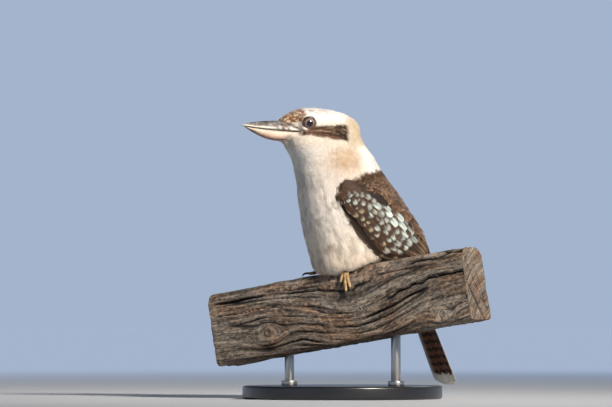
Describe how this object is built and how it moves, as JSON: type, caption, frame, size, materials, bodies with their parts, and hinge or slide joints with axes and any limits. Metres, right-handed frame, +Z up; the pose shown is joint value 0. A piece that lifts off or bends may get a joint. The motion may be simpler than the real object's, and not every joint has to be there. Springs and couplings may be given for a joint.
{
  "type": "laughing kookaburra on a timber perch",
  "caption": "Still, life-size model of a laughing kookaburra sitting upright on a cut length of weathered timber beam, held up by a plain display stand.",
  "frame": {"origin": "centre of the stand base's underside", "axes": "+Z up, -Y the way the bird's body faces, +X to the bird's left"},
  "size_m": [0.278, 0.2408, 0.306],
  "materials": {
    "pale_plumage": "matte, soft feathers",
    "body_plumage": "matte, soft feathers, cream below and brown on the back",
    "wing_plumage": "matte feathers, dark brown with pale blue spots",
    "tail_plumage": "matte feathers, rufous barred with black",
    "dark_horn": "satin horn, mottled",
    "pale_horn": "satin horn",
    "eye": "wet gloss",
    "leg_skin": "scaly, dry",
    "claw_horn": "satin horn",
    "weathered_timber": "bare, grey, deeply checked along the grain",
    "stand_disc": "satin black lacquer",
    "stand_rod": "brushed"
  },
  "bodies": {
    "root": {"head": "pale_plumage", "neck": "pale_plumage", "trunk": "body_plumage", "bill_upper": "dark_horn", "bill_lower": "pale_horn", "eye_left": "eye", "eye_right": "eye", "wing_left": "wing_plumage", "wing_right": "wing_plumage", "tail": "tail_plumage", "leg_left": "leg_skin", "leg_right": "leg_skin", "foot_left": "leg_skin", "foot_right": "leg_skin", "claw_left_inner": "claw_horn", "claw_left_middle": "claw_horn", "claw_left_outer": "claw_horn", "claw_left_hind": "claw_horn", "claw_right_inner": "claw_horn", "claw_right_middle": "claw_horn", "claw_right_outer": "claw_horn", "claw_right_hind": "claw_horn", "perch": "weathered_timber", "stand_base": "stand_disc", "stand_rod_left": "stand_rod", "stand_rod_right": "stand_rod"}
  },
  "joints": []
}
